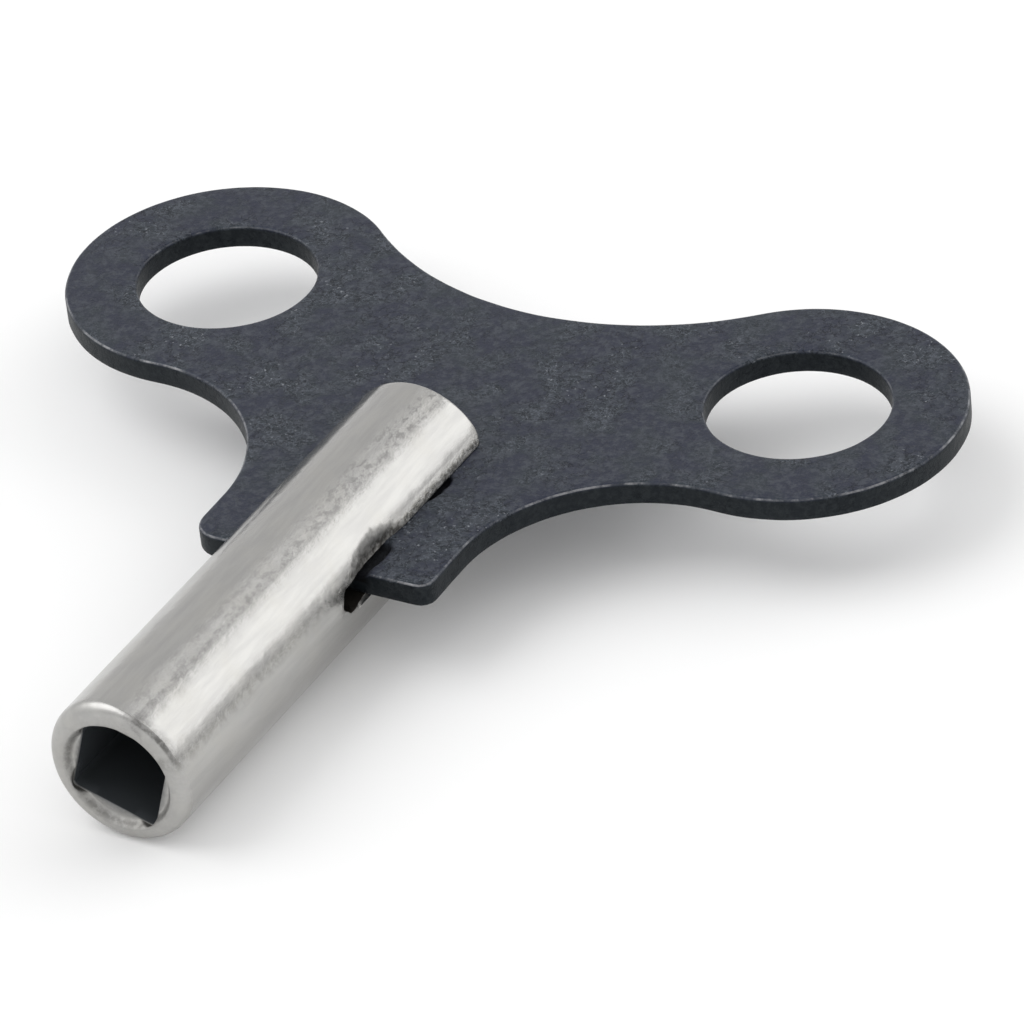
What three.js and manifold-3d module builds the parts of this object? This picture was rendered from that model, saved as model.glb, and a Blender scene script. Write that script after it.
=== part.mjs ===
// Radiator bleed key, clock-key pattern: a stamped steel wing plate held in the sawn rear end
// of a round steel shank that has a square socket in its mouth.
//
// Millimetres, +Z up. The plate lies level with its wings along X, and the shank lies along Y with
// its mouth towards -Y. The origin is the middle of the whole key's box, which is on the level of
// the shank's axis. The plate is drawn in its own mid-plane, from the line through its two
// finger-hole centres (y = 0). The shank is drawn round its own axis, with the same zero for y, and
// then placed: its slot isn't central, so the bar sits a little low, and it is staked on a little
// to one side and a little askew, as the plate can slide and turn in the slot until then.

import * as THREE from "three";
import { mergeVertices } from "three/addons/utils/BufferGeometryUtils.js";
import Module from "manifold-3d";

// ---- driving dimensions ----

// Wing plate
const PLATE_THICKNESS = 1.45;
const PLATE_EDGE_BREAK = 0.12;
const FINGER_HOLE_RADIUS = 5.4;
const FINGER_HOLE_X = 19.05;
const LOBE_RADIUS = 9.85;
const LOBE_CENTRE_Y = 0.2;
const TOP_EDGE_Y = 3.05;
const SIDE_CURVE_RADIUS = 10.3;
const TAIL_HALF_WIDTH = 7.8;
const TAIL_END_Y = -23.85;
const TAIL_CORNER_RADIUS = 1.2;

// Shank
const SHANK_RADIUS = 4.5;
const SHANK_REAR_Y = -9.7;
const SHANK_MOUTH_Y = -43.7;
const SHANK_AXIS_X = -0.3;
const SHANK_AXIS_Z = -0.83;
const SHANK_TURN = THREE.MathUtils.degToRad(-0.75);
const REAR_EDGE_RADIUS = 0.35;
const LIP_RADIUS = 0.5;

// Slot sawn into the shank's rear end for the plate, and how far it opens out at its two sides
const SLOT_END_Y = -26.2;
const SLOT_CLEARANCE = 0.3;
const SLOT_EDGE_BREAK = 0.15;

// Socket
const SOCKET_ACROSS_FLATS = 5.3;
const SOCKET_CORNER_RADIUS = 0.25;
const SOCKET_TURN = THREE.MathUtils.degToRad(-16.6);
const SOCKET_DEPTH = 13;
const COUNTERBORE_RADIUS = 3.5;
const COUNTERBORE_DEPTH = 0.5;
const PILOT_RADIUS = 2.4;
const PILOT_DEPTH = 14.5;
const PILOT_POINT_ANGLE = THREE.MathUtils.degToRad(118);

// Fineness of the round stretches
const ARC_DIVISIONS = 20;
const SHANK_SIDES = 64;
const BORE_SIDES = 48;
const EDGE_STEPS = 3;

// How far a cutting shape runs past the face it opens
const OVERRUN = 1;

// ---- materials ----

const blackenedSteel = new THREE.MeshStandardMaterial({
  color: 0x2b2f37,
  roughness: 0.55,
  metalness: 0.6,
});

const nickelPlate = new THREE.MeshStandardMaterial({
  color: 0xc9c7c1,
  roughness: 0.3,
  metalness: 1.0,
});

// ---- solids and booleans ----

const wasm = await Module();
wasm.setup();

function toSolid(geometry) {
  const bare = geometry.clone();
  bare.deleteAttribute("normal");
  bare.deleteAttribute("uv");
  const merged = mergeVertices(bare, 1e-4);
  const corners = merged.index.array;
  const triangles = [];
  for (let i = 0; i < corners.length; i += 3) {
    const [a, b, c] = [corners[i], corners[i + 1], corners[i + 2]];
    // A lathe's triangles on the axis have two corners in one place, and are left out
    if (a !== b && b !== c && c !== a) triangles.push(a, b, c);
  }
  return new wasm.Manifold(new wasm.Mesh({
    numProp: 3,
    vertProperties: new Float32Array(merged.attributes.position.array),
    triVerts: new Uint32Array(triangles),
  }));
}

function toGeometry(solid) {
  const mesh = solid.getMesh();
  const geometry = new THREE.BufferGeometry();
  geometry.setAttribute("position", new THREE.BufferAttribute(mesh.vertProperties, 3));
  geometry.setIndex(new THREE.BufferAttribute(mesh.triVerts, 1));
  geometry.computeVertexNormals();
  return geometry;
}

function cutAway(body, cutters) {
  return cutters.reduce((left, cutter) => left.subtract(toSolid(cutter)), toSolid(body));
}

// A section drawn in X and Z, drawn out along Y from yLow to yHigh
function prismAlongY(section, yLow, yHigh) {
  const prism = new THREE.ExtrudeGeometry(section, {
    depth: yHigh - yLow,
    bevelEnabled: false,
    curveSegments: EDGE_STEPS,
  });
  prism.rotateX(Math.PI / 2);
  prism.translate(0, yHigh, 0);
  return prism;
}

// ---- wing plate ----

// The top edge is one hollow curve that meets both lobes smoothly and dips to TOP_EDGE_Y on the
// centre line. Its radius follows from those two conditions.
function topCurve() {
  const reach = LOBE_RADIUS - TOP_EDGE_Y;
  const centreY = (FINGER_HOLE_X ** 2 + LOBE_CENTRE_Y ** 2 - reach ** 2)
    / (2 * (reach + LOBE_CENTRE_Y));
  return { centreY, radius: centreY - TOP_EDGE_Y };
}

// Each side edge is a hollow curve that meets its lobe and the straight side of the tail smoothly
function sideCurve() {
  const centreX = TAIL_HALF_WIDTH + SIDE_CURVE_RADIUS;
  const apart = SIDE_CURVE_RADIUS + LOBE_RADIUS;
  const centreY = LOBE_CENTRE_Y - Math.sqrt(apart ** 2 - (FINGER_HOLE_X - centreX) ** 2);
  return { centreX, centreY };
}

function plateOutline() {
  const top = topCurve();
  const side = sideCurve();
  // Directions from the right-hand lobe's centre to the centres of the two curves it meets
  const toTop = Math.atan2(top.centreY - LOBE_CENTRE_Y, -FINGER_HOLE_X);
  const toSide = Math.atan2(side.centreY - LOBE_CENTRE_Y, side.centreX - FINGER_HOLE_X);
  const corner = TAIL_CORNER_RADIUS;
  const cornerX = TAIL_HALF_WIDTH - corner;
  const cornerY = TAIL_END_Y + corner;

  // Each lobe is two arcs that meet at its highest point, so that the outline has a corner there
  const highest = Math.PI / 2;
  const outline = new THREE.Shape();
  outline.absarc(cornerX, cornerY, corner, -Math.PI / 2, 0, false);
  outline.absarc(side.centreX, side.centreY, SIDE_CURVE_RADIUS, Math.PI, toSide + Math.PI, true);
  outline.absarc(FINGER_HOLE_X, LOBE_CENTRE_Y, LOBE_RADIUS, toSide, highest, false);
  outline.absarc(FINGER_HOLE_X, LOBE_CENTRE_Y, LOBE_RADIUS, highest, toTop, false);
  outline.absarc(0, top.centreY, top.radius, toTop - Math.PI, -toTop, true);
  outline.absarc(-FINGER_HOLE_X, LOBE_CENTRE_Y, LOBE_RADIUS, Math.PI - toTop, highest, false);
  outline.absarc(-FINGER_HOLE_X, LOBE_CENTRE_Y, LOBE_RADIUS, highest, Math.PI - toSide, false);
  outline.absarc(-side.centreX, side.centreY, SIDE_CURVE_RADIUS, -toSide, 0, true);
  outline.absarc(-cornerX, cornerY, corner, Math.PI, Math.PI * 1.5, false);
  outline.closePath();

  for (const x of [-FINGER_HOLE_X, FINGER_HOLE_X]) {
    const hole = new THREE.Path();
    hole.absarc(x, 0, FINGER_HOLE_RADIUS, 0, Math.PI, false);
    hole.absarc(x, 0, FINGER_HOLE_RADIUS, Math.PI, Math.PI * 2, false);
    outline.holes.push(hole);
  }
  return outline;
}

function makeWingPlate() {
  const geometry = new THREE.ExtrudeGeometry(plateOutline(), {
    depth: PLATE_THICKNESS - 2 * PLATE_EDGE_BREAK,
    curveSegments: ARC_DIVISIONS,
    bevelEnabled: true,
    bevelThickness: PLATE_EDGE_BREAK,
    bevelSize: PLATE_EDGE_BREAK,
    bevelOffset: -PLATE_EDGE_BREAK,
    bevelSegments: 1,
  });
  geometry.translate(0, 0, PLATE_EDGE_BREAK - PLATE_THICKNESS / 2);
  const plate = new THREE.Mesh(toGeometry(toSolid(geometry)), blackenedSteel);
  plate.name = "wing_plate";
  return plate;
}

// ---- shank ----

// Points of a rounded outer edge, in radius and length, from one angle to the other
function roundedEdge(centreY, radius, fromAngle, toAngle) {
  const points = [];
  for (let step = 0; step <= EDGE_STEPS; step += 1) {
    const angle = THREE.MathUtils.lerp(fromAngle, toAngle, step / EDGE_STEPS);
    const reach = SHANK_RADIUS - radius + radius * Math.cos(angle);
    points.push(new THREE.Vector2(reach, centreY + radius * Math.sin(angle)));
  }
  return points;
}

function shankBar() {
  return new THREE.LatheGeometry([
    new THREE.Vector2(0, SHANK_MOUTH_Y),
    ...roundedEdge(SHANK_MOUTH_Y + LIP_RADIUS, LIP_RADIUS, -Math.PI / 2, 0),
    ...roundedEdge(SHANK_REAR_Y - REAR_EDGE_RADIUS, REAR_EDGE_RADIUS, 0, Math.PI / 2),
    new THREE.Vector2(0, SHANK_REAR_Y),
  ], SHANK_SIDES);
}

// The slot holds the plate with a little clearance above and below. It is as far off the bar's axis
// as the plate is, and each of its four long edges is broken where it comes out through the side.
function plateSlot() {
  const wide = SHANK_RADIUS + OVERRUN;
  const half = PLATE_THICKNESS / 2 + SLOT_CLEARANCE;
  const corners = [];
  for (const side of [1, -1]) {
    const level = -SHANK_AXIS_Z + side * half;
    const edgeX = Math.sqrt(SHANK_RADIUS ** 2 - level ** 2) - SLOT_EDGE_BREAK;
    const flaredLevel = level + side * (wide - edgeX);
    corners.push(
      new THREE.Vector2(side * wide, flaredLevel),
      new THREE.Vector2(side * edgeX, level),
      new THREE.Vector2(-side * edgeX, level),
      new THREE.Vector2(-side * wide, flaredLevel),
    );
  }
  return prismAlongY(new THREE.Shape(corners), SLOT_END_Y, SHANK_REAR_Y + OVERRUN);
}

function squareSocket() {
  const flat = SOCKET_ACROSS_FLATS / 2;
  const corner = SOCKET_CORNER_RADIUS;
  const section = new THREE.Shape();
  for (let quarter = 0; quarter < 4; quarter += 1) {
    const turn = quarter * Math.PI / 2 + SOCKET_TURN;
    const centre = new THREE.Vector2(flat - corner, flat - corner);
    centre.rotateAround(new THREE.Vector2(), turn);
    section.absarc(centre.x, centre.y, corner, turn, turn + Math.PI / 2, false);
  }
  section.closePath();
  return prismAlongY(section, SHANK_MOUTH_Y - OVERRUN, SHANK_MOUTH_Y + SOCKET_DEPTH);
}

// The hole drilled before the square was broached, which runs on behind it to a drill point
function pilotHole() {
  const shoulderY = SHANK_MOUTH_Y + PILOT_DEPTH;
  const pointLength = PILOT_RADIUS / Math.tan(PILOT_POINT_ANGLE / 2);
  return new THREE.LatheGeometry([
    new THREE.Vector2(0, SHANK_MOUTH_Y - OVERRUN),
    new THREE.Vector2(PILOT_RADIUS, SHANK_MOUTH_Y - OVERRUN),
    new THREE.Vector2(PILOT_RADIUS, shoulderY),
    new THREE.Vector2(0, shoulderY + pointLength),
  ], BORE_SIDES);
}

function counterbore() {
  const length = COUNTERBORE_DEPTH + OVERRUN;
  const recess = new THREE.CylinderGeometry(COUNTERBORE_RADIUS, COUNTERBORE_RADIUS, length, BORE_SIDES);
  recess.translate(0, SHANK_MOUTH_Y + COUNTERBORE_DEPTH - length / 2, 0);
  return recess;
}

function makeShank() {
  const solid = cutAway(shankBar(), [plateSlot(), squareSocket(), pilotHole(), counterbore()]);
  const shank = new THREE.Mesh(toGeometry(solid), nickelPlate);
  shank.name = "socket_shank";
  shank.position.set(SHANK_AXIS_X, 0, SHANK_AXIS_Z);
  shank.rotation.z = SHANK_TURN;
  return shank;
}

// ---- the key ----

const key = new THREE.Group();
const centred = new THREE.Group();
centred.add(makeWingPlate(), makeShank());
const box = new THREE.Box3().setFromObject(centred, true);
centred.position.copy(box.getCenter(new THREE.Vector3()).negate());
key.add(centred);

export default key;
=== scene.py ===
"""Radiator bleed key: the fine surfaces and materials of its two pieces, on a plain pale floor.

The CAD frame holds the plain solids. Here each one is replaced by a finer piece of the same size:
the wing plate gets its rolled and worn edges, its slightly uneven upper face and its two stake marks,
and the shank gets its rounded lip, its soft counterbore, its worn rear end, the ragged front ends of
its slot and the nick in its flank.
Lengths are in millimetres until a mesh is made. "Up" is +Z, and the socket's mouth is towards -Y.
"""

import math
from functools import partial

import bmesh
import bpy
from mathutils import Matrix, Vector, kdtree, noise
from mathutils.geometry import delaunay_2d_cdt


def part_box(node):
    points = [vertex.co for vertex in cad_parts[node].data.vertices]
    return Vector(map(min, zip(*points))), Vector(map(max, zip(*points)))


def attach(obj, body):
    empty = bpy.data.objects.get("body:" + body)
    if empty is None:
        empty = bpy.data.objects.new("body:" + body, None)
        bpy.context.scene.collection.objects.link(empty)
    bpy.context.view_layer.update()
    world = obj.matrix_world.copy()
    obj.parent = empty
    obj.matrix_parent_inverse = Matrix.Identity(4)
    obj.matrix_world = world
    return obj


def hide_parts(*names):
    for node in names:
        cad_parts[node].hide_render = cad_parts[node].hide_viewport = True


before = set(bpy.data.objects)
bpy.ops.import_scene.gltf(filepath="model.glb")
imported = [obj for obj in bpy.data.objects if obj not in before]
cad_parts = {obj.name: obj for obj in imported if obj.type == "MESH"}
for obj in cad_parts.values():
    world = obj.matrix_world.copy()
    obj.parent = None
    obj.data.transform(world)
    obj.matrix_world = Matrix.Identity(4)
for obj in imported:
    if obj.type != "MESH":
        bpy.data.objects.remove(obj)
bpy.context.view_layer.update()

MM = 0.001
PLATE_LOW, PLATE_HIGH = (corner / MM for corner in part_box("wing_plate"))
SHANK_LOW, SHANK_HIGH = (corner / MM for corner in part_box("socket_shank"))

# ---- wing plate, drawn from the line through its finger holes (y = 0) and its mid-plane (z = 0) ----

PLATE_THICKNESS = PLATE_HIGH.z - PLATE_LOW.z
PLATE_LEVEL = (PLATE_HIGH.z + PLATE_LOW.z) / 2
LOBE_RADIUS = 9.85
LOBE_CENTRE_Y = 0.2
HOLE_LINE_Y = PLATE_HIGH.y - LOBE_RADIUS - LOBE_CENTRE_Y
FINGER_HOLE_X = PLATE_HIGH.x - LOBE_RADIUS
FINGER_HOLE_RADIUS = 5.4
TOP_EDGE_Y = 3.05
SIDE_CURVE_RADIUS = 10.3
TAIL_HALF_WIDTH = 7.8
TAIL_END_Y = PLATE_LOW.y - HOLE_LINE_Y
TAIL_CORNER_LEFT = 1.7
TAIL_CORNER_RIGHT = 0.9

TOP_EDGE_ROLL = 0.24
BOTTOM_EDGE_BREAK = 0.1
EDGE_WOBBLE = 0.035
EDGE_WOBBLE_SIZE = 2.2
FACE_WAVE = 0.018
FACE_WAVE_SIZE = 7.0
OUTLINE_RUBBED = 1.0
HOLE_RUBBED = 0.86

# Each stake mark: middle along y, half its length, width beside the shank at its two ends, and depth
STAKE_MARKS = (
    (-14.9, 1.5, 0.28, 0.46, 0.32),
    (-22.7, 2.2, 0.22, 0.72, 0.38),
)
STAKE_UNDER_SHANK = 1.2
STAKE_SOFTNESS = 0.3
STAKE_RAGGED = 0.06

# ---- shank, drawn round its own axis from the middle of its length (v = 0), mouth towards -v ----
# Angles round the axis start at the right side and go over the top.

SHANK_RADIUS = (SHANK_HIGH.z - SHANK_LOW.z) / 2
SHANK_LENGTH = 34.0
SHANK_CENTRE = (SHANK_LOW + SHANK_HIGH) / 2
SHANK_TURN = math.radians(-0.75)
LIP_SIZE = 0.82
LIP_CRISP_SIZE = 0.3
LIP_CRISP_SIDE = math.radians(48)
LIP_CRISP_SPREAD = math.radians(50)
LIP_EDGE_SHADE_SPREAD = math.radians(20)
MOUTH_V = -SHANK_LENGTH / 2
REAR_V = SHANK_LENGTH / 2
REAR_EDGE = 0.24
REAR_CORNER = 0.4
REAR_CORNER_REACH = 1.0

# The slot is sawn from the rear as far as SLOT_END_V. Its ends are rounded and ragged within the reach
# before, behind, above and below that place.
SLOT_END_V = 0.5
SLOT_MIDDLE = PLATE_LEVEL - SHANK_CENTRE.z
SLOT_HALF = PLATE_THICKNESS / 2 + 0.008
SLOT_EDGE = 0.04
SLOT_END_BULGE = 0.6
SLOT_END_RAGGED = 0.3
SLOT_END_BEFORE = 1.5
SLOT_END_BEHIND = 2.5
SLOT_END_HEIGHT = 2.4
PIT_V = 1.4
PIT_RADIUS = 1.5
UPPER_EDGE = math.asin((SLOT_MIDDLE + SLOT_HALF + SLOT_EDGE) / SHANK_RADIUS)
LOWER_EDGE = math.asin((SLOT_MIDDLE - SLOT_HALF - SLOT_EDGE) / SHANK_RADIUS)

# The nick's top rises from NICK_FOOT at its ends to NICK_TOP at its middle. NICK_FADE and NICK_RAGGED
# are angles too.
NICK_V = 4.7
NICK_HALF_LENGTH = 3.7
NICK_FOOT = math.radians(20)
NICK_TOP = math.radians(38)
NICK_FADE = 0.2
NICK_RAGGED = 0.04
NICK_SLOPE = 1.3
NICK_DEPTH = 0.34

SOCKET_ACROSS_FLATS = 5.3
SOCKET_CORNER_RADIUS = 0.25
SOCKET_TURN = math.radians(-16.6)
SOCKET_DEPTH = 13.0
COUNTERBORE_FOOT = 3.0
COUNTERBORE_RADIUS = 3.48
COUNTERBORE_DROP = 0.18
COUNTERBORE_DEPTH = 0.48
SOCKET_EDGE = 0.06
PILOT_RADIUS = 2.4
PILOT_DEPTH = 14.5
PILOT_POINT_LENGTH = 1.44

# ---- fineness ----

OUTLINE_STEP = 0.35
FACE_STEP = 0.9
STAKE_STEP = 0.14
EDGE_ROWS = 5
WALL_ROWS = 5
LIP_ROWS = 10
BORE_ROWS = 12
SHANK_STEP = 0.3
NICK_STEP = 0.13
NICK_REAR_V = 9.0
FINE_ANGLE = math.radians(1.0)
WIDE_ANGLE = math.radians(1.8)
FINE_TO_ANGLE = math.radians(44)

TURN = 2 * math.pi
RIGHT, TOP, LEFT, UNDERSIDE = range(4)

SCENE = bpy.context.scene


# ---- building pieces ----

class Skin:
    """The points and faces of a piece as it is built, with the wear, the grime and the painted shade
    painted on its points.
    """

    def __init__(self):
        self.points = []
        self.faces = []
        self.paint = []

    def line(self, points, worn=0.0, grime_and_shade=0.0, bare=0.0):
        """Adds points and returns their numbers."""
        first = len(self.points)
        self.points.extend(points)
        self.paint.extend([(worn, grime_and_shade, bare, 1.0)] * len(points))
        return list(range(first, len(self.points)))

    def face(self, numbers):
        self.faces.append(tuple(numbers))

    def strip(self, one, other, closed=True):
        """Joins two lines of as many points by a band of quads."""
        pairs = list(zip(one, other))
        if closed:
            pairs.append(pairs[0])
        for (a, b), (c, d) in zip(pairs, pairs[1:]):
            self.face((a, c, d, b))

    def sheet(self, lines, closed=True):
        """Joins each line to the next."""
        for one, other in zip(lines, lines[1:]):
            self.strip(one, other, closed)

    def build(self, name, material, placed, sharp_angle=50):
        """Makes the object, with its faces all turned outwards and its sharp edges marked."""
        mesh = bpy.data.meshes.new(name)
        mesh.from_pydata([placed @ (Vector(p) * MM) for p in self.points], [], self.faces)
        painted = mesh.attributes.new("paint", "FLOAT_COLOR", "POINT")
        painted.data.foreach_set("color", [c for colour in self.paint for c in colour])
        work = bmesh.new()
        work.from_mesh(mesh)
        bmesh.ops.recalc_face_normals(work, faces=work.faces)
        work.to_mesh(mesh)
        work.free()
        mesh.shade_smooth()
        mesh.set_sharp_from_angle(angle=math.radians(sharp_angle))
        mesh.materials.append(material)
        piece = bpy.data.objects.new(name, mesh)
        SCENE.collection.objects.link(piece)
        return piece


def smooth(value):
    """Runs from 0 to 1 as value does, with a soft start and end."""
    value = min(1.0, max(0.0, value))
    return value * value * (3 - 2 * value)


def spread(start, end, step):
    """Evenly spaced numbers from start up to, but not including, end."""
    count = max(1, round(abs(end - start) / step))
    return [start + (end - start) * i / count for i in range(count)]


def rough(x, y, z, scale, octaves=3):
    """Smooth noise between about -1 and 1, with features about as large as scale."""
    return noise.fractal(Vector((x, y, z)) / scale, 1.0, 2.0, octaves)


# ---- wing plate ----

def arc(x, y, radius, start, end):
    """Points along an arc, without its last one."""
    return [
        Vector((x + radius * math.cos(a), y + radius * math.sin(a)))
        for a in spread(start, end, OUTLINE_STEP / radius)
    ]


def straight(start, end):
    """Points along a straight edge, without its last one."""
    start, end = Vector(start), Vector(end)
    return [start.lerp(end, t) for t in spread(0, 1, OUTLINE_STEP / (end - start).length)]


def plate_outline():
    """The outline, anticlockwise: hollow curves that meet the two round lobes and the tail smoothly."""
    reach = LOBE_RADIUS - TOP_EDGE_Y
    top_y = (FINGER_HOLE_X**2 + LOBE_CENTRE_Y**2 - reach**2) / (2 * (reach + LOBE_CENTRE_Y))
    top_radius = top_y - TOP_EDGE_Y
    side_x = TAIL_HALF_WIDTH + SIDE_CURVE_RADIUS
    apart = SIDE_CURVE_RADIUS + LOBE_RADIUS
    side_y = LOBE_CENTRE_Y - math.sqrt(apart**2 - (FINGER_HOLE_X - side_x)**2)
    to_top = math.atan2(top_y - LOBE_CENTRE_Y, -FINGER_HOLE_X)
    to_side = math.atan2(side_y - LOBE_CENTRE_Y, side_x - FINGER_HOLE_X)
    half, pi = math.pi / 2, math.pi
    right, left = TAIL_CORNER_RIGHT, TAIL_CORNER_LEFT
    return [
        *arc(TAIL_HALF_WIDTH - right, TAIL_END_Y + right, right, -half, 0),
        *straight((TAIL_HALF_WIDTH, TAIL_END_Y + right), (TAIL_HALF_WIDTH, side_y)),
        *arc(side_x, side_y, SIDE_CURVE_RADIUS, pi, to_side + pi),
        *arc(FINGER_HOLE_X, LOBE_CENTRE_Y, LOBE_RADIUS, to_side, half),
        *arc(FINGER_HOLE_X, LOBE_CENTRE_Y, LOBE_RADIUS, half, to_top),
        *arc(0, top_y, top_radius, to_top - pi, -to_top),
        *arc(-FINGER_HOLE_X, LOBE_CENTRE_Y, LOBE_RADIUS, pi - to_top, half),
        *arc(-FINGER_HOLE_X, LOBE_CENTRE_Y, LOBE_RADIUS, half, pi - to_side),
        *arc(-side_x, side_y, SIDE_CURVE_RADIUS, -to_side, 0),
        *straight((-TAIL_HALF_WIDTH, side_y), (-TAIL_HALF_WIDTH, TAIL_END_Y + left)),
        *arc(-TAIL_HALF_WIDTH + left, TAIL_END_Y + left, left, pi, 3 * half),
        *straight((-TAIL_HALF_WIDTH + left, TAIL_END_Y), (TAIL_HALF_WIDTH - right, TAIL_END_Y)),
    ]


def finger_hole(x):
    """A hole's edge, clockwise, so that the metal is on its left as it is all round the outline."""
    return arc(x, 0, FINGER_HOLE_RADIUS, 2 * math.pi, 0)


def outward(loop):
    """The direction out of the metal at each point of a loop."""
    directions = []
    for before, after in zip(loop[-1:] + loop[:-1], loop[1:] + loop[:1]):
        along = (after - before).normalized()
        directions.append(Vector((along.y, -along.x)))
    return directions


def shank_side(y):
    """How far to the right the shank's flank reaches at the plate's upper face."""
    level = PLATE_HIGH.z - SHANK_CENTRE.z
    axis = SHANK_CENTRE.x + (y + HOLE_LINE_Y - SHANK_CENTRE.y) * math.tan(-SHANK_TURN)
    return axis + math.sqrt(SHANK_RADIUS**2 - level**2)


def stake_depth(x, y):
    """Depth of the chisel marks that lock the plate in the shank, close against the shank's side."""
    deepest = 0.0
    for middle, half, width_front, width_back, depth in STAKE_MARKS:
        place = (y - middle) / half
        if abs(place) < 1:
            width = width_front + (width_back - width_front) * (place + 1) / 2
            inner = shank_side(y)
            outer = inner + width * (1 - place**2)**0.5 + STAKE_RAGGED * rough(x, y, 3.0, 0.4)
            side = smooth((outer - x) / STAKE_SOFTNESS)
            side *= smooth((x - inner + STAKE_UNDER_SHANK) / STAKE_SOFTNESS)
            deepest = max(deepest, depth * side * smooth((1 - abs(place)) * 3))
    return deepest


def plate_relief(x, y):
    """How far the upper face stands off its level: a slight wave, and the stake marks."""
    wave = FACE_WAVE * (rough(x, y, 0.0, FACE_WAVE_SIZE) - 1) / 2
    return wave - stake_depth(x, y)


def edge_profile():
    """Steps from the upper face round the edge to the lower face: inset, height, wear, and cut or not."""
    half = PLATE_THICKNESS / 2
    steps = []
    for i in range(EDGE_ROWS + 1):
        turn = math.pi / 2 * i / EDGE_ROWS
        inset, drop = TOP_EDGE_ROLL * (1 - math.sin(turn)), TOP_EDGE_ROLL * (1 - math.cos(turn))
        steps.append((inset, half - drop, math.sin(2 * turn), smooth(2 * i / EDGE_ROWS - 1)))
    wall_top, wall_low = half - TOP_EDGE_ROLL, BOTTOM_EDGE_BREAK - half
    for i in range(1, WALL_ROWS + 1):
        steps.append((0.0, wall_top + (wall_low - wall_top) * i / WALL_ROWS, 0.0, 1.0))
    steps.append((BOTTOM_EDGE_BREAK * 0.3, wall_low - BOTTOM_EDGE_BREAK * 0.7, 0.5, 0.5))
    steps.append((BOTTOM_EDGE_BREAK, -half, 0.2, 0.0))
    return steps


def plate_edge(skin, loop, rubbed):
    """Lays one edge of the plate, from the upper face down to the lower one. Returns its end lines."""
    normals = outward(loop)
    half = PLATE_THICKNESS / 2
    lines = []
    for inset, height, worn, cut in edge_profile():
        points = []
        for point, normal in zip(loop, normals):
            wobble = EDGE_WOBBLE * (rough(point.x, point.y, 0.0, EDGE_WOBBLE_SIZE) + 1) / 2
            place = point - normal * (inset + wobble)
            share = smooth((height + half) / PLATE_THICKNESS)
            points.append(Vector((*place, height + plate_relief(*place) * share)))
        lines.append(skin.line(points, worn=worn * rubbed, bare=cut))
    skin.sheet(lines)
    return lines[0], lines[-1]


def inner_points(step, low, high, margin, taken):
    """A staggered grid of points between two corners that keeps its distance from the points taken."""
    found = []
    rows = spread(low[1], high[1], step * 0.87)
    for number, y in enumerate(rows):
        for x in spread(low[0] + (number % 2) * step / 2, high[0], step):
            off_hole = math.hypot(abs(x) - FINGER_HOLE_X, y) - FINGER_HOLE_RADIUS
            if off_hole > 0 and taken.find((x, y, 0))[2] > margin:
                found.append(Vector((x, y)))
    return found


def tree_of(points):
    """A search tree over points, seen from above."""
    tree = kdtree.KDTree(len(points))
    for number, point in enumerate(points):
        tree.insert((point[0], point[1], 0), number)
    tree.balance()
    return tree


def stake_points(taken):
    """A fine patch of points over each stake mark."""
    found = []
    for middle, half, _, _, _ in STAKE_MARKS:
        side = shank_side(middle)
        low, high = (side - 0.9, middle - half - 0.4), (side + 1.1, middle + half + 0.4)
        found += inner_points(STAKE_STEP, low, high, STAKE_STEP * 0.6, taken)
    return found


def plate_face(skin, loops, upper):
    """Fills a face of the plate, inside its outline and outside its holes, with small triangles."""
    numbers = [number for loop in loops for number in loop]
    flat = [Vector(skin.points[number][:2]) for number in numbers]
    edges = []
    for loop in loops:
        first = numbers.index(loop[0])
        edges += [(first + i, first + (i + 1) % len(loop)) for i in range(len(loop))]
    extra = stake_points(tree_of(flat)) if upper else []
    low, high = (PLATE_LOW.x, TAIL_END_Y), (PLATE_HIGH.x, PLATE_HIGH.y - HOLE_LINE_Y)
    extra += inner_points(FACE_STEP, low, high, FACE_STEP * 0.45, tree_of(flat + extra))
    placed, _, faces, came_from, _, _ = delaunay_2d_cdt(flat + extra, edges, [], 2, 1e-6)
    added = {}
    for index, (point, sources) in enumerate(zip(placed, came_from)):
        known = [s for s in sources if s < len(numbers)]
        if known:
            added[index] = numbers[known[0]]
    height = PLATE_THICKNESS / 2 * (1 if upper else -1)
    holes = [set(loop) for loop in loops[1:]]
    for face in faces:
        if any(all(added.get(index) in hole for index in face) for hole in holes):
            continue
        for index in face:
            if index not in added:
                x, y = placed[index]
                z = height + (plate_relief(x, y) if upper else 0.0)
                added[index] = skin.line([Vector((x, y, z))])[0]
        skin.face(added[index] for index in face)


def paint_stake_marks(skin):
    """Painted shade: the marks are darkened by their depth."""
    for number, point in enumerate(skin.points):
        if point.z > 0:
            depth = smooth(stake_depth(point.x, point.y) / 0.22)
            worn, _, bare, whole = skin.paint[number]
            skin.paint[number] = (worn * (1 - depth), depth, bare, whole)


def make_wing_plate(material):
    """The plate: an edge along its outline and each hole, and an upper and a lower face between them."""
    skin = Skin()
    outlines = [plate_outline(), finger_hole(-FINGER_HOLE_X), finger_hole(FINGER_HOLE_X)]
    rubbed = [OUTLINE_RUBBED, HOLE_RUBBED, HOLE_RUBBED]
    ends = [plate_edge(skin, loop, share) for loop, share in zip(outlines, rubbed)]
    plate_face(skin, [upper for upper, _ in ends], upper=True)
    plate_face(skin, [lower for _, lower in ends], upper=False)
    paint_stake_marks(skin)
    placed = Matrix.Translation(Vector((0, HOLE_LINE_Y, PLATE_LEVEL)) * MM)
    return skin.build("wing_plate_fine", material, placed)


# ---- shank ----

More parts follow.
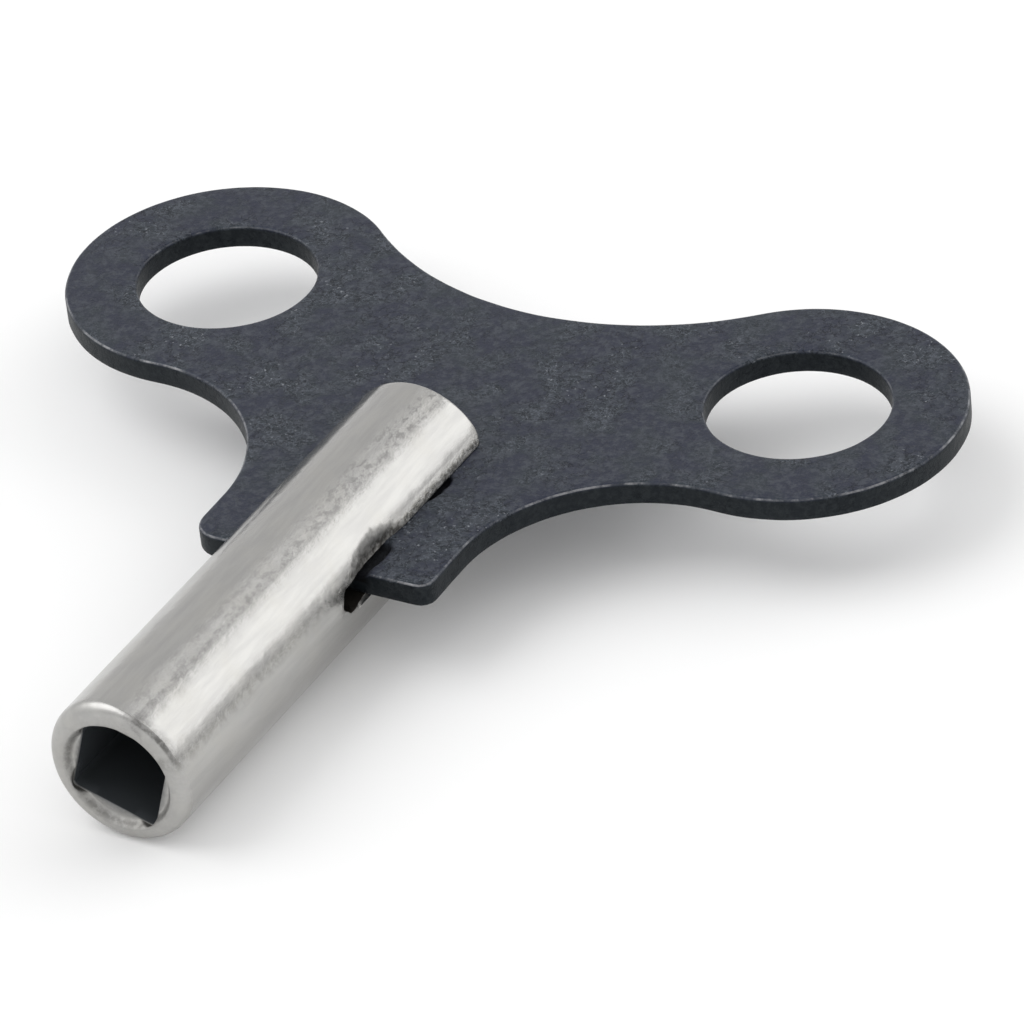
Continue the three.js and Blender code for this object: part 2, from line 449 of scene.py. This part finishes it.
def nick_depth(angle, v):
    """Depth of the dent that the staking left in the right flank, low down beside the slot."""
    along = 1 - ((v - NICK_V) / NICK_HALF_LENGTH)**2
    if along <= 0:
        return 0.0
    uneven = rough(angle * SHANK_RADIUS, v, 0.0, 0.7)
    top = NICK_FOOT + (NICK_TOP - NICK_FOOT) * along + NICK_RAGGED * uneven
    depth = NICK_DEPTH * along * (1 + 0.12 * uneven)
    return depth * smooth(angle / NICK_FADE + 1) * smooth((top - angle) * SHANK_RADIUS / NICK_SLOPE)


def shank_point(radius, angle, v):
    """A point at a radius and angle round the shank's axis."""
    return Vector((radius * math.cos(angle), v, radius * math.sin(angle)))


def slot_levels(inset):
    """The slot's upper and lower edge lines, from the shank's surface in to its flats: heights, sink."""
    lines = []
    for i in range(EDGE_ROWS + 1):
        turn = math.pi / 2 * i / EDGE_ROWS
        rounding = SLOT_EDGE if i == 0 else SLOT_EDGE - inset
        off = SLOT_HALF + (inset if i else 0) + rounding * (1 - math.sin(turn))
        lines.append((SLOT_MIDDLE + off, SLOT_MIDDLE - off, rounding * (1 - math.cos(turn))))
    return lines


def shank_columns():
    """Directions round the shank, in four runs: right slot, top, left slot, underside."""
    right = spread(LOWER_EDGE, UPPER_EDGE, WIDE_ANGLE)
    top = spread(UPPER_EDGE, FINE_TO_ANGLE, FINE_ANGLE)
    top += spread(FINE_TO_ANGLE, math.pi - UPPER_EDGE, WIDE_ANGLE)
    left = [math.pi - angle for angle in reversed(right + [UPPER_EDGE])][:-1]
    under = spread(math.pi - LOWER_EDGE, TURN + LOWER_EDGE, WIDE_ANGLE)
    return right, top, left, under


def shank_radius(angle, v):
    """Radius of the shank's side, less in the nick."""
    return SHANK_RADIUS - nick_depth(angle, v)


def slot_rows():
    """Rows over the slotted stretch: place along the shank, and insets of the round and flat sides."""
    along = spread(SLOT_END_V, NICK_REAR_V, NICK_STEP)[1:]
    along += spread(NICK_REAR_V, REAR_V - REAR_EDGE, SHANK_STEP)
    rows = [(v, 0.0, 0.0) for v in along]
    for i in range(EDGE_ROWS + 1):
        turn = math.pi / 2 * i / EDGE_ROWS
        inset = REAR_EDGE * (1 - math.cos(turn))
        rows.append((REAR_V - REAR_EDGE * (1 - math.sin(turn)), inset, inset * 0.5))
    return rows


def prong_line(skin, columns, run, row):
    """One row of a prong's round side, with both its edges."""
    v, inset, _ = row
    angles = columns[run] + [columns[(run + 1) % 4][0]]
    if run == UNDERSIDE:
        angles[-1] += TURN
    return skin.line([shank_point(shank_radius(a % TURN, v) - inset, a, v) for a in angles])


def part_of(whole_row, columns, run):
    """The points of a row right round the shank that belong to one run of columns, with both ends."""
    start = sum(len(each) for each in columns[:run])
    return [whole_row[(start + i) % len(whole_row)] for i in range(len(columns[run]) + 1)]


def slot_outline(side, upper, lower, end):
    """The outermost line of the slot's edge: in along the upper prong, across, out along the lower."""
    first, last = (0, -1) if side > 0 else (-1, 0)
    return [line[first] for line in reversed(upper)] + end + [line[last] for line in lower]


def edge_point(side, row, line, prong):
    """A point on the rounding between a prong's round side and its flat face."""
    v, inset, flat_inset = row
    level = slot_levels(flat_inset)[line][prong]
    sunk = slot_levels(flat_inset)[line][2]
    angle = math.asin(level / SHANK_RADIUS)
    radius = (shank_radius(angle, v) if side > 0 else SHANK_RADIUS) - inset
    return Vector((side * math.sqrt((radius - sunk)**2 - level**2), v, level))


def slot_end_points(side, line, count):
    """One line of the slot's edge across its closed end, from the upper prong down to the lower."""
    high, low, sunk = slot_levels(0.0)[line]
    end_v = SLOT_END_V - SLOT_EDGE * (1 - math.sin(math.pi / 2 * line / EDGE_ROWS))
    points = []
    for step in range(count + 1):
        level = high + (low - high) * step / count
        angle = math.asin(level / SHANK_RADIUS)
        radius = shank_radius(angle, end_v) if side > 0 else SHANK_RADIUS
        points.append(Vector((side * math.sqrt((radius - sunk)**2 - level**2), end_v, level)))
    return points


def slot_edge(skin, side, outline, count, rows):
    """The rounded edge of the slot on one side, all the way round from prong to prong."""
    lines = [outline]
    for i in range(1, EDGE_ROWS + 1):
        points = [edge_point(side, row, i, 0) for row in reversed(rows)]
        points += slot_end_points(side, i, count)
        points += [edge_point(side, row, i, 1) for row in rows]
        # grime with painted shade on the slot's inner edges
        lines.append(skin.line(points, grime_and_shade=0.3 if i == 1 else 1.0))
    skin.sheet(lines, closed=False)
    return lines


def slot_flats(skin, right, left):
    """The slot's two flats and its end wall, as lines from the right edge across to the left one."""
    across = [right]
    for share in (0.25, 0.5, 0.75):
        points = [skin.points[a].lerp(skin.points[b], share) for a, b in zip(right, left)]
        # grime with painted shade on the slot's flats and end wall
        across.append(skin.line(points, grime_and_shade=1.0))
    across.append(left)
    skin.sheet(across, closed=False)
    return across


def rear_face(skin, round_line, edges, across, end):
    """Closes a prong's rear, all the way round: its round side, one edge, its flat, the other edge."""
    first, last = edges if end else reversed(edges)
    flat = [line[end] for line in across[1:-1]]
    ring = list(round_line)
    ring += [line[end] for line in first[1:]]
    ring += flat if end else reversed(flat)
    ring += [line[end] for line in reversed(last[1:])]
    skin.face(ring)


def slotted_stretch(skin, first_row, columns):
    """The two prongs behind the socket, with the slot between them, on from the last whole row."""
    rows = slot_rows()
    upper = [prong_line(skin, columns, TOP, row) for row in rows]
    lower = [prong_line(skin, columns, UNDERSIDE, row) for row in rows]
    skin.sheet([part_of(first_row, columns, TOP)] + upper, closed=False)
    skin.sheet([part_of(first_row, columns, UNDERSIDE)] + lower, closed=False)
    right_end = part_of(first_row, columns, RIGHT)[::-1]
    left_end = part_of(first_row, columns, LEFT)
    edges = []
    for side, end in ((1, right_end), (-1, left_end)):
        outline = slot_outline(side, upper, lower, end)
        edges.append(slot_edge(skin, side, outline, len(end) - 1, rows))
    across = slot_flats(skin, edges[0][-1], edges[1][-1])
    rear_face(skin, upper[-1], edges, across, 0)
    rear_face(skin, lower[-1], edges, across, -1)


def square_reach(angle):
    """Distance from the axis to the socket's rounded square in one direction."""
    flat, corner = SOCKET_ACROSS_FLATS / 2, SOCKET_CORNER_RADIUS
    off = (angle - SOCKET_TURN + math.pi / 4) % (math.pi / 2) - math.pi / 4
    if flat * math.tan(abs(off)) <= flat - corner:
        return flat / math.cos(off)
    middle = Vector((flat - corner, flat - corner))
    along = middle.dot(Vector((math.cos(off), math.sin(abs(off)))))
    return along + math.sqrt(corner**2 - middle.length_squared + along**2)


def bore_ring(radius, depth, angle):
    """The reach of a ring of the counterbore. It sits a little low, and the square cuts its foot."""
    reach = radius - COUNTERBORE_DROP * math.sin(angle)
    corner = square_reach(angle) + SOCKET_EDGE + 0.02 + 0.1 * (radius - COUNTERBORE_FOOT)
    notched = smooth(depth / COUNTERBORE_DEPTH)
    return max(reach, corner) * notched + reach * (1 - notched)


def lip_size(angle):
    """The lip is tumbled round, except for a stretch on its upper right that is still crisp."""
    away = abs((angle - LIP_CRISP_SIDE + math.pi) % TURN - math.pi)
    crisp = smooth(1.35 - away / LIP_CRISP_SPREAD)
    return LIP_SIZE + (LIP_CRISP_SIZE - LIP_SIZE) * crisp


def bore_profile():
    """Rings from the socket's drill point out to the flat of the mouth: reach, depth, bareness, and
    painted shade.
    """
    rings = [
        (lambda angle: 0.02, PILOT_DEPTH + PILOT_POINT_LENGTH, 1.0, 0.0),
        (lambda angle: PILOT_RADIUS, PILOT_DEPTH, 1.0, 0.0),
        (lambda angle: PILOT_RADIUS, SOCKET_DEPTH, 1.0, 0.0),
    ]
    socket_top = COUNTERBORE_DEPTH + SOCKET_EDGE
    for depth in spread(SOCKET_DEPTH, socket_top, 0.8) + [socket_top]:
        rings.append((square_reach, depth, 1.0, 0.0))
    # painted shade at the socket's edge
    rings.append((lambda angle: square_reach(angle) + SOCKET_EDGE, COUNTERBORE_DEPTH, 0.5, 0.3))
    for share in spread(0, 1, 1 / BORE_ROWS) + [1]:
        radius = COUNTERBORE_FOOT + (COUNTERBORE_RADIUS - COUNTERBORE_FOOT) * share
        depth = COUNTERBORE_DEPTH * (1 - smooth(share))
        # painted shade, darkest half way down the counterbore's wall
        grime_and_shade = 0.1 + 0.3 * (1 - abs(2 * share - 1))
        rings.append((partial(bore_ring, radius, depth), depth, 0.0, grime_and_shade))
    return rings


def lip_point(angle, share):
    """A point on the lip, from the flat ring of the mouth (0) round to the shank's side (1)."""
    turn = math.pi / 2 * share
    size = lip_size(angle)
    reach = SHANK_RADIUS - size * (1 - math.sin(turn))
    return shank_point(reach, angle, MOUTH_V + size * (1 - math.cos(turn)))


def paint_lip_edge_shade(skin, numbers, angles, share):
    """Painted shade: a dark line along the crisp stretch of the lip."""
    behind = smooth(1.5 - abs(share - 0.62) / 0.4)
    for number, angle in zip(numbers, angles):
        near = smooth(1.5 - abs(angle - LIP_CRISP_SIDE) / LIP_EDGE_SHADE_SPREAD)
        uneven = 0.6 + 0.3 * rough(angle * SHANK_RADIUS, share, 5.0, 0.8)
        worn, _, bare, whole = skin.paint[number]
        skin.paint[number] = (worn, behind * near * uneven, bare, whole)


def round_slot_end(skin):
    """The slot's ends are round and ragged, not square: points near them move along the shank."""
    for point in skin.points:
        off = abs(point.z - SLOT_MIDDLE)
        behind = point.y - SLOT_END_V
        if -SLOT_END_BEFORE < behind < SLOT_END_BEHIND and off < SLOT_END_HEIGHT:
            near = smooth(1 - abs(behind) / (SLOT_END_BEFORE if behind < 0 else SLOT_END_BEHIND))
            bulge = min(1.0, off / SLOT_HALF)**2 * smooth((SLOT_END_HEIGHT - off) / 1.2)
            ragged = rough(point.x, point.z, 2.0, 0.5) * smooth((1.4 - off) / 0.5)
            point.y += near * (SLOT_END_BULGE * bulge + SLOT_END_RAGGED * ragged)


def blunt_rear_corners(skin):
    """The prongs' rear corners are worn round beside the plate: points near them move forwards."""
    for point in skin.points:
        off = abs(point.z - SLOT_MIDDLE) - SLOT_HALF
        near = smooth((point.y - REAR_V + REAR_CORNER_REACH) / REAR_CORNER_REACH)
        point.y -= REAR_CORNER * near * max(0.0, 1 - max(0.0, off) / REAR_CORNER_REACH)**2


def paint_nick(skin):
    """Dull and grimy metal in the nick, and grime with painted shade about the slot's front end, all on
    the right flank.
    """
    front, top = MOUTH_V + 5, 3.2
    for number, point in enumerate(skin.points):
        if point.y > front and point.x > 0 and 0 < point.z < top:
            angle = math.atan2(point.z, point.x)
            sunk = smooth(nick_depth(angle - 0.05, point.y) / NICK_DEPTH * 8)
            from_pit = math.hypot(point.y - PIT_V, (point.z - SLOT_MIDDLE) * 1.1)
            # grime with painted shade about the pit at the slot's front end
            end = smooth(1.3 - from_pit / PIT_RADIUS)
            low = smooth((0.62 - angle) / 0.25)
            uneven = 0.75 + 0.5 * rough(point.y, angle * SHANK_RADIUS, 1.0, 0.4)
            worn, grime_and_shade, bare, whole = skin.paint[number]
            grime_and_shade = max(grime_and_shade, (0.35 + 0.5 * low) * sunk * uneven, 0.85 * end * uneven)
            skin.paint[number] = (max(worn, sunk), min(1.0, grime_and_shade), bare, whole)


def make_shank(material):
    """The shank, as rows right round it from the bore's point out to the slot, and then its two prongs."""
    skin = Skin()
    columns = shank_columns()
    angles = [angle for run in columns for angle in run]
    lines = []
    for reach, depth, bare, grime_and_shade in bore_profile():
        points = [shank_point(reach(angle), angle, MOUTH_V + depth) for angle in angles]
        lines.append(skin.line(points, bare=bare, worn=1 - bare, grime_and_shade=grime_and_shade))
    for share in spread(0, 1, 1 / LIP_ROWS) + [1]:
        lines.append(skin.line([lip_point(angle, share) for angle in angles], worn=1 - share**2))
        paint_lip_edge_shade(skin, lines[-1], angles, share)
    plain_from = MOUTH_V + LIP_SIZE + 0.1
    plain_to = SLOT_END_V - SLOT_EDGE
    for v in spread(plain_from, plain_to, SHANK_STEP) + [plain_to]:
        lines.append(skin.line([shank_point(shank_radius(a % TURN, v), a, v) for a in angles]))
    skin.sheet(lines)
    skin.face(reversed(lines[0]))
    slotted_stretch(skin, lines[-1], columns)
    paint_nick(skin)
    round_slot_end(skin)
    blunt_rear_corners(skin)
    placed = Matrix.Translation(SHANK_CENTRE * MM) @ Matrix.Rotation(SHANK_TURN, 4, "Z")
    return skin.build("socket_shank_fine", material, placed, sharp_angle=42)


# ---- materials ----

def add(tree, kind, inputs=None, **settings):
    """Adds a node. An input is a value, or the socket that feeds it."""
    made = tree.nodes.new(kind)
    for key, value in settings.items():
        setattr(made, key, value)
    for key, value in (inputs or {}).items():
        if isinstance(value, bpy.types.NodeSocket):
            tree.links.new(value, made.inputs[key])
        else:
            made.inputs[key].default_value = value
    return made


def new_material(name):
    """A material with an empty node tree."""
    material = bpy.data.materials.new(name)
    material.use_nodes = True
    material.node_tree.nodes.clear()
    return material, material.node_tree


def span(tree, value, low, high, start=0.0, end=1.0):
    """Turns low..high into start..end, softly."""
    return add(tree, "ShaderNodeMapRange", {
        "Value": value, "From Min": low, "From Max": high, "To Min": start, "To Max": end,
    }, interpolation_type="SMOOTHSTEP").outputs["Result"]


def maths(tree, operation, one, other=0.0):
    """One sum, of values or sockets."""
    return add(tree, "ShaderNodeMath", {0: one, 1: other}, operation=operation).outputs[0]


def product(tree, first, *others):
    """Multiplies two or more values or sockets."""
    for other in others:
        first = maths(tree, "MULTIPLY", first, other)
    return first


def band(tree, value, start, full, full_to, end):
    """1 from full to full_to, and softly down to 0 at start and end."""
    return product(tree, span(tree, value, start, full), span(tree, value, end, full_to))


def blend(tree, factor, one, other):
    """Mixes two colours."""
    made = add(tree, "ShaderNodeMix", data_type="RGBA")
    for socket, value in ((made.inputs[0], factor), (made.inputs[6], one), (made.inputs[7], other)):
        if isinstance(value, bpy.types.NodeSocket):
            tree.links.new(value, socket)
        else:
            socket.default_value = value
    return made.outputs[2]


def grain(tree, place, size, detail=4.0, roughness=0.6, stretch=(1, 1, 1)):
    """Cloudy noise whose features are about size millimetres."""
    scaled = add(tree, "ShaderNodeVectorMath", {0: place, 1: stretch}, operation="MULTIPLY")
    return add(tree, "ShaderNodeTexNoise", {
        "Vector": scaled.outputs[0], "Scale": 1 / size, "Detail": detail, "Roughness": roughness,
    }).outputs["Fac"]


def wiggles(tree, noise_value, width):
    """Thin wandering lines, where noise passes its middle value."""
    off = maths(tree, "ABSOLUTE", maths(tree, "SUBTRACT", noise_value, 0.5))
    return span(tree, off, width, 0.0)


def millimetres(tree):
    """The place on the piece, in millimetres."""
    place = add(tree, "ShaderNodeTexCoord").outputs["Object"]
    return add(tree, "ShaderNodeVectorMath", {0: place, "Scale": 1 / MM}, operation="SCALE").outputs[0]


def paint_of(tree):
    """The wear, the grime with painted shade, and the bareness painted on the piece."""
    painted = add(tree, "ShaderNodeAttribute", attribute_name="paint").outputs["Color"]
    return add(tree, "ShaderNodeSeparateColor", {"Color": painted}).outputs


def bumpy(tree, height, distance, under=None):
    """A bump of so many millimetres, on top of the one under it."""
    inputs = {"Height": height, "Distance": distance * MM, "Strength": 1.0}
    if under:
        inputs["Normal"] = under
    return add(tree, "ShaderNodeBump", inputs).outputs["Normal"]


def finish_material(tree, inputs):
    """Puts the shader and the output on a material."""
    shader = add(tree, "ShaderNodeBsdfPrincipled", inputs)
    add(tree, "ShaderNodeOutputMaterial", {"Surface": shader.outputs[0]})


DEEP_BLUE_BLACK = (0.010, 0.011, 0.026, 1)
DEEP_GREEN_BLACK = (0.012, 0.016, 0.022, 1)
FADED_BLACK = (0.050, 0.054, 0.066, 1)
CREASE_BLACK = (0.004, 0.004, 0.006, 1)
RIDGE_GREY = (0.10, 0.11, 0.135, 1)
SPECK_GREY = (0.19, 0.20, 0.22, 1)
CUT_DARK = (0.008, 0.010, 0.012, 1)
CUT_LIGHT = (0.018, 0.021, 0.023, 1)
RUBBED_STEEL = (0.26, 0.26, 0.27, 1)
STAKE_SHADE_BLACK = (0.007, 0.007, 0.007, 1)


def creases_and_ridges(tree, place, clouds, patches):
    """Thin dark creases and thinner light ridges, stronger in some patches than in others."""
    crinkled = span(tree, patches, 0.40, 0.60, 0.35, 1.0)
    creases = wiggles(tree, grain(tree, place, 0.85, detail=4.0), 0.04)
    ridges = wiggles(tree, grain(tree, place, 0.5, detail=3.0), 0.035)
    cloudy = span(tree, clouds, 0.45, 0.6)
    return product(tree, creases, crinkled), product(tree, ridges, crinkled, cloudy)


def blackened_steel():
    """Chemically blackened sheet: blue-black, mottled and scuffed, with its edges rubbed to grey metal."""
    material, tree = new_material("blackened_steel")
    place = millimetres(tree)
    worn, grime_and_shade, cut = paint_of(tree)[0:3]

    clouds = grain(tree, place, 2.2, detail=5.0)
    mottle = grain(tree, place, 0.45, detail=5.0, roughness=0.7)
    patches = grain(tree, place, 4.5, detail=3.0)
    creases, ridges = creases_and_ridges(tree, place, clouds, patches)
    colour = blend(tree, span(tree, clouds, 0.40, 0.60), DEEP_BLUE_BLACK, DEEP_GREEN_BLACK)
    colour = blend(tree, span(tree, mottle, 0.42, 0.66, 0.0, 0.8), colour, FADED_BLACK)
    colour = blend(tree, product(tree, creases, 0.7), colour, CREASE_BLACK)
    colour = blend(tree, product(tree, ridges, 0.6), colour, RIDGE_GREY)

    specks = span(tree, grain(tree, place, 0.3, detail=3.0), 0.63, 0.71)
    specks = product(tree, specks, span(tree, patches, 0.50, 0.62, 0.08, 1.0))
    colour = blend(tree, specks, colour, SPECK_GREY)

    cut_metal = blend(tree, span(tree, mottle, 0.40, 0.65), CUT_DARK, CUT_LIGHT)
    colour = blend(tree, cut, colour, cut_metal)
    chips = span(tree, grain(tree, place, 1.5, detail=7.0, roughness=0.7), 0.43, 0.66, 0.06, 1.0)
    rubbed = product(tree, span(tree, worn, 0.70, 0.96), chips)
    colour = blend(tree, rubbed, colour, RUBBED_STEEL)
    # painted shade: the stake marks are darkened to near black, with less sheen
    colour = blend(tree, product(tree, grime_and_shade, 0.85), colour, STAKE_SHADE_BLACK)

    normal = bumpy(tree, grain(tree, place, 0.14, detail=3.0), 0.010)
    normal = bumpy(tree, mottle, 0.035, under=normal)
    normal = bumpy(tree, maths(tree, "SUBTRACT", ridges, creases), 0.008, under=normal)
    sheen_by_cut = span(tree, cut, 0.0, 1.0, 0.41, 0.17)
    sheen_by_crease = span(tree, creases, 0.0, 1.0, 1.0, 0.6)
    sheen_by_stake_shade = span(tree, grime_and_shade, 0.0, 1.0, 1.0, 0.35)
    finish_material(tree, {
        "Base Color": colour,
        "Metallic": product(tree, rubbed, 0.5),
        "Roughness": span(tree, mottle, 0.3, 0.7, 0.40, 0.55),
        "Specular IOR Level": product(tree, sheen_by_cut, sheen_by_crease, sheen_by_stake_shade),
        "Specular Tint": (0.80, 0.90, 1.0, 1),
        "Normal": normal,
    })
    return material


NICKEL_DARK = (0.41, 0.405, 0.395, 1)
NICKEL_LIGHT = (0.46, 0.455, 0.44, 1)
NICKEL_WARM = (0.46, 0.45, 0.425, 1)
SCUFFED_NICKEL = (0.20, 0.195, 0.19, 1)
SCUFF_LINE = (0.24, 0.235, 0.23, 1)
FOOT_DIRT_AND_SHADE = (0.13, 0.125, 0.11, 1)
NICKEL_GRIME_AND_SHADE = (0.035, 0.032, 0.028, 1)
BORE_SHADE_BLACK = (0.045, 0.050, 0.055, 1)


def scuffed_shoulder(tree, place, marks):
    """Where the shank is scuffed, up on its right shoulder, and the dark line along the scuffs' edge."""
    x, y, z = add(tree, "ShaderNodeSeparateXYZ", {0: place}).outputs
    lean = math.tan(-SHANK_TURN)
    across = maths(tree, "SUBTRACT", x, product(tree, y, lean))
    across = maths(tree, "SUBTRACT", across, SHANK_CENTRE.x - SHANK_CENTRE.y * lean)
    ragged = maths(tree, "ADD", across, marks)
    upper = span(tree, z, 2.5, 3.0)
    rearwards = span(tree, y, -12.0, 4.0, 0.4, 1.0)
    shoulder = product(tree, band(tree, ragged, 0.8, 1.8, 2.45, 2.85), upper, rearwards)
    patchy = span(tree, marks, 0.40, 0.56, 0.3, 1.0)
    return shoulder, product(tree, band(tree, ragged, 1.9, 2.3, 2.4, 2.8), patchy, upper)


def foot_of_shank(tree, place):
    """Where the shank meets the plate on the right, more strongly over the plate than in front: dirt with
    painted shade.
    """
    x, y, z = add(tree, "ShaderNodeSeparateXYZ", {0: place}).outputs
    on_right = span(tree, x, 0.5, 1.0)
    rearwards = span(tree, y, -8.0, -1.0, 0.4, 1.0)
    return product(tree, band(tree, z, 1.1, 1.7, 1.85, 2.3), on_right, rearwards)


def satin_nickel():
    """Nickel on a turned and tumbled bar: satin, streaked, scuffed on one shoulder, grimy in its nick."""
    material, tree = new_material("satin_nickel")
    place = millimetres(tree)
    worn, painted_grime_and_shade, bare = paint_of(tree)[0:3]

    streaks = grain(tree, place, 0.5, detail=4.0, stretch=(1, 0.12, 1))
    clouds = grain(tree, place, 2.5, detail=4.0)
    colour = blend(tree, span(tree, streaks, 0.3, 0.7), NICKEL_DARK, NICKEL_LIGHT)
    colour = blend(tree, span(tree, clouds, 0.4, 0.7, 0.0, 0.5), colour, NICKEL_WARM)

    marks = grain(tree, place, 0.55, detail=5.0, roughness=0.7, stretch=(1.2, 0.7, 1.2))
    shoulder, line = scuffed_shoulder(tree, place, marks)
    scuffed = product(tree, shoulder, span(tree, marks, 0.48, 0.62))
    colour = blend(tree, product(tree, scuffed, 0.62), colour, SCUFFED_NICKEL)
    colour = blend(tree, product(tree, line, 0.42), colour, SCUFF_LINE)

    dirt = grain(tree, place, 0.4, detail=5.0, roughness=0.7)
    # dirt and painted shade along the shank's foot, where it meets the plate
    foot = foot_of_shank(tree, place)
    foot_dirt_and_shade = product(tree, foot, span(tree, dirt, 0.40, 0.60, 0.05, 0.75))
    colour = blend(tree, foot_dirt_and_shade, colour, FOOT_DIRT_AND_SHADE)
    # Darkens the nickel with grime in the nick and the slot, and with painted shade on the counterbore's
    # wall, along the lip's crisp edge and in the pit at the slot's end.
    grime_and_shade = product(tree, painted_grime_and_shade, span(tree, dirt, 0.38, 0.6, 0.35, 1.0))
    grime_and_shade = maths(tree, "MAXIMUM", grime_and_shade, span(tree, painted_grime_and_shade, 0.8, 1.0))
    colour = blend(tree, grime_and_shade, colour, NICKEL_GRIME_AND_SHADE)
    # painted shade: the bore inside the socket is coloured near black
    colour = blend(tree, bare, colour, BORE_SHADE_BLACK)

    crusty = product(tree, dirt, maths(tree, "MAXIMUM", painted_grime_and_shade, foot))
    normal = bumpy(tree, grain(tree, place, 0.3, detail=2.0), 0.006)
    normal = bumpy(tree, grain(tree, place, 1.5, detail=1.0), 0.03, under=normal)
    normal = bumpy(tree, product(tree, marks, shoulder), 0.07, under=normal)
    normal = bumpy(tree, crusty, 0.05, under=normal)
    dull = span(tree, clouds, 0.3, 0.7, 0.18, 0.26)
    dull = maths(tree, "ADD", dull, product(tree, worn, 0.26))
    dull = maths(tree, "ADD", dull, product(tree, grime_and_shade, 0.25))
    finish_material(tree, {
        "Base Color": colour,
        "Metallic": maths(tree, "SUBTRACT", 1.0, bare),
        "Roughness": dull,
        "Normal": normal,
    })
    return material


# ---- studio ----

FLOOR_SIZE = 4.0
CAMERA_AZIMUTH = math.radians(32.03)
CAMERA_ELEVATION = math.radians(34.53)
CAMERA_ROLL = math.radians(-6.33)
CAMERA_LENS = 268.94
CAMERA_DISTANCE = 0.4324
CAMERA_AIM = Vector((8.74, 1.31, 1.555)) * MM


def make_floor():
    """A plain pale sheet that the shank rests on."""
    mesh = bpy.data.meshes.new("floor")
    half = FLOOR_SIZE / 2
    level = SHANK_LOW.z * MM
    corners = [(-half, -half, level), (half, -half, level), (half, half, level), (-half, half, level)]
    mesh.from_pydata(corners, [], [(0, 1, 2, 3)])
    material, tree = new_material("pale_floor")
    finish_material(tree, {
        "Base Color": (0.86, 0.86, 0.86, 1),
        "Roughness": 0.9,
        "Specular IOR Level": 0.2,
        "Emission Color": (1, 1, 1, 1),
        "Emission Strength": 0.08,
    })
    mesh.materials.append(material)
    floor = bpy.data.objects.new("floor", mesh)
    SCENE.collection.objects.link(floor)


def soft_light(name, azimuth, elevation, distance, width, height, power):
    """A rectangular light that faces the key. Azimuth runs from +Y towards +X."""
    data = bpy.data.lights.new(name, "AREA")
    data.shape = "RECTANGLE"
    data.size, data.size_y = width, height
    data.energy = power
    light = bpy.data.objects.new(name, data)
    a, e = math.radians(azimuth), math.radians(elevation)
    toward = Vector((math.sin(a) * math.cos(e), math.cos(a) * math.cos(e), math.sin(e)))
    light.location = toward * distance
    light.rotation_mode = "QUATERNION"
    light.rotation_quaternion = toward.to_track_quat("Z", "Y")
    SCENE.collection.objects.link(light)


def make_surroundings():
    """An even, soft surround, as a light tent gives, and darker low down on the right."""
    world = bpy.data.worlds.new("tent")
    world.use_nodes = True
    tree = world.node_tree
    toward = add(tree, "ShaderNodeTexCoord").outputs["Generated"]
    axes = add(tree, "ShaderNodeSeparateXYZ", {0: toward}).outputs
    low_right = product(tree, span(tree, axes[2], 0.10, 0.02), span(tree, axes[0], 0.2, 0.6))
    tree.links.new(span(tree, low_right, 0, 1, 0.80, 0.45), tree.nodes["Background"].inputs["Color"])
    SCENE.world = world


def make_camera():
    """The photo's angle: from in front, on the right and above, turned a little about its own axis."""
    data = bpy.data.cameras.new("camera")
    data.lens = CAMERA_LENS
    camera = bpy.data.objects.new("camera", data)
    turned = (Matrix.Rotation(CAMERA_AZIMUTH, 4, "Z")
              @ Matrix.Rotation(math.pi / 2 - CAMERA_ELEVATION, 4, "X")
              @ Matrix.Rotation(CAMERA_ROLL, 4, "Z"))
    back = turned @ Vector((0, 0, CAMERA_DISTANCE))
    camera.matrix_world = Matrix.Translation(CAMERA_AIM + back) @ turned
    SCENE.collection.objects.link(camera)
    SCENE.camera = camera


make_camera()
make_floor()
make_surroundings()
soft_light("key_light", azimuth=39, elevation=29, distance=1.2, width=1.16, height=0.785, power=3.15)
soft_light("top_light", azimuth=-5, elevation=47, distance=1.2, width=0.34, height=0.34, power=0.17)
soft_light("fill_light", azimuth=255, elevation=50, distance=1.4, width=1.2, height=1.2, power=8)
SCENE.view_settings.view_transform = "Standard"

plate = make_wing_plate(blackened_steel())
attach(plate, "root")
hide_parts("wing_plate")

shank = make_shank(satin_nickel())
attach(shank, "root")
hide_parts("socket_shank")
